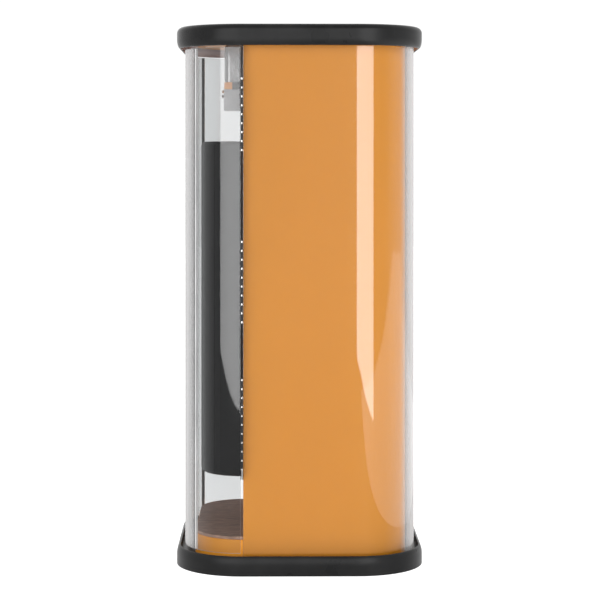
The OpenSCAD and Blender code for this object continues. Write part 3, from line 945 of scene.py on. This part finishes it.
# ---------------------------------------------------------------- studio
@dataclass(frozen=True)
class Softbox:
    """An upright softbox, seen from above as a line between two points."""

    name: str
    start: tuple[float, float]
    end: tuple[float, float]
    radiance: float
    low: float = 0.03
    high: float = 2.3
    mirrored: bool = True

    def build(self) -> bpy.types.Object:
        """Builds the light. It shines towards the right of the way from start to end."""
        ends = Vector((*self.end, 0.0)) - Vector((*self.start, 0.0))
        data = bpy.data.lights.new(self.name, "AREA")
        data.shape = "RECTANGLE"
        data.size = ends.length
        data.size_y = self.high - self.low
        data.energy = self.radiance * math.pi * data.size * data.size_y
        light = bpy.data.objects.new(self.name, data)
        middle = (Vector((*self.start, 0.0)) + Vector((*self.end, 0.0))) / 2
        light.location = (middle.x, middle.y, (self.low + self.high) / 2)
        aim = Vector((ends.y, -ends.x, 0.0))
        light.rotation_euler = aim.to_track_quat("-Z", "Y").to_euler()
        light.visible_camera = False
        light.visible_glossy = self.mirrored
        bpy.context.scene.collection.objects.link(light)
        return light


@dataclass
class Studio:
    """A pale floor, a soft sky, softboxes, fill lights, a low bounce sheet and the camera.

    The sky is as bright as the backdrop where X is under bright_until, and dim from dim_from on.
    """

    eye: tuple[float, float, float] = (3.999, -0.0444, 0.8286)
    yaw_deg: float = 0.67
    lens: float = 113.13
    shift_y: float = -0.2337
    sky: float = 0.3
    backdrop: float = 1.05
    floor_tone: float = 0.5
    floor_glow: float = 0.85
    sheet_from: tuple[float, float] = (-2.2, 0.6)
    sheet_to: tuple[float, float] = (3.1, 13.0)
    sheet_radiance: float = 0.85
    floor_radius: float = 14.0
    bright_until: float = -0.3
    dim_from: float = 0.5
    softboxes: tuple[Softbox, ...] = (
        Softbox("softbox_right", (1.88, 1.255), (4.25, 0.3), 4.4),
        Softbox("softbox_left", (2.386, -0.276), (3.14, -3.18), 2.9),
        Softbox("fill_low", (0.9, 0.5), (0.9, -0.5), 6.0, 0.04, 0.12, False),
        Softbox("fill_door", (0.9, -2.6), (-0.9, -2.6), 2.6, 0.3, 2.1, False),
        Softbox("fill_back", (-0.9, 2.6), (0.9, 2.6), 2.0, 0.3, 2.1, False),
    )

    def camera(self) -> None:
        """Sets the camera level, on the hinge side of the box."""
        data = bpy.data.cameras.new("camera")
        data.lens = self.lens
        data.sensor_width = 36.0
        data.shift_y = self.shift_y
        data.clip_end = 100.0
        camera = bpy.data.objects.new("camera", data)
        camera.location = self.eye
        camera.rotation_euler = (math.radians(90.0), 0.0, math.radians(90.0 - self.yaw_deg))
        bpy.context.scene.collection.objects.link(camera)
        bpy.context.scene.camera = camera

    def floor(self) -> None:
        """A round, pale, matt floor that isn't mirrored in the box."""
        bm = bmesh.new()
        bmesh.ops.create_circle(bm, cap_ends=True, segments=96, radius=self.floor_radius)
        mesh = bpy.data.meshes.new("floor")
        bm.to_mesh(mesh)
        bm.free()
        floor = bpy.data.objects.new("floor", mesh)
        bpy.context.scene.collection.objects.link(floor)
        floor.visible_glossy = False
        w = Wiring("floor")
        matt = w.add("BsdfDiffuse", Color=(self.floor_tone,) * 3)
        glow = w.add("Emission", Color=(1.0, 1.0, 1.0), Strength=self.floor_glow)
        both = w.add("AddShader")
        w.feed(both.inputs[0], matt.outputs[0])
        w.feed(both.inputs[1], glow.outputs[0])
        mesh.materials.append(w.close(both))

    def world(self) -> None:
        """A white backdrop behind the box, and a dimmer room in front of it."""
        world = bpy.data.worlds.new("sky")
        bpy.context.scene.world = world
        world.use_nodes = True
        tree = world.node_tree
        tree.nodes.clear()
        out = tree.nodes.new("ShaderNodeOutputWorld")
        light = tree.nodes.new("ShaderNodeBackground")
        way = tree.nodes.new("ShaderNodeTexCoord")
        parts = tree.nodes.new("ShaderNodeSeparateXYZ")
        room = tree.nodes.new("ShaderNodeMapRange")
        path = tree.nodes.new("ShaderNodeLightPath")
        seen = tree.nodes.new("ShaderNodeMapRange")
        ends = (self.bright_until, self.dim_from, self.backdrop, self.sky)
        for socket, value in zip(room.inputs[1:5], ends):
            socket.default_value = value
        seen.inputs["To Max"].default_value = self.backdrop
        light.inputs[0].default_value = (1.0, 1.0, 1.0, 1.0)
        tree.links.new(way.outputs["Generated"], parts.inputs[0])
        tree.links.new(parts.outputs["X"], room.inputs["Value"])
        tree.links.new(room.outputs[0], seen.inputs["To Min"])
        tree.links.new(path.outputs["Is Camera Ray"], seen.inputs["Value"])
        tree.links.new(seen.outputs[0], light.inputs[1])
        tree.links.new(light.outputs[0], out.inputs[0])

    def bounce(self) -> None:
        """A wide white sheet on the floor beside the box, as a low upward light."""
        data = bpy.data.lights.new("bounce", "AREA")
        data.shape = "RECTANGLE"
        low, high = Vector(self.sheet_from), Vector(self.sheet_to)
        data.size, data.size_y = high - low
        data.energy = self.sheet_radiance * math.pi * data.size * data.size_y
        light = bpy.data.objects.new("bounce", data)
        light.location = (*((low + high) / 2), 0.01)
        light.rotation_euler = (math.radians(180.0), 0.0, 0.0)
        light.visible_camera = False
        bpy.context.scene.collection.objects.link(light)

    def build(self) -> None:
        """Sets up the studio."""
        bpy.context.scene.view_settings.view_transform = "Standard"
        self.camera()
        self.floor()
        self.world()
        self.bounce()
        for softbox in self.softboxes:
            softbox.build()


def main() -> None:
    """Builds the studio and every sub-assembly, and reports each piece."""
    logging.basicConfig(level=logging.INFO, format="%(name)s %(message)s")
    Studio().build()
    plan = Plan.of("base_tray")
    for part in (Mouldings(plan), Shell(plan), Cabinet(plan), Door(plan), Hardware(), CoinMechanism()):
        part.build()
        LOG.info("%s done", type(part).__name__)


if __name__ == "__main__":
    main()
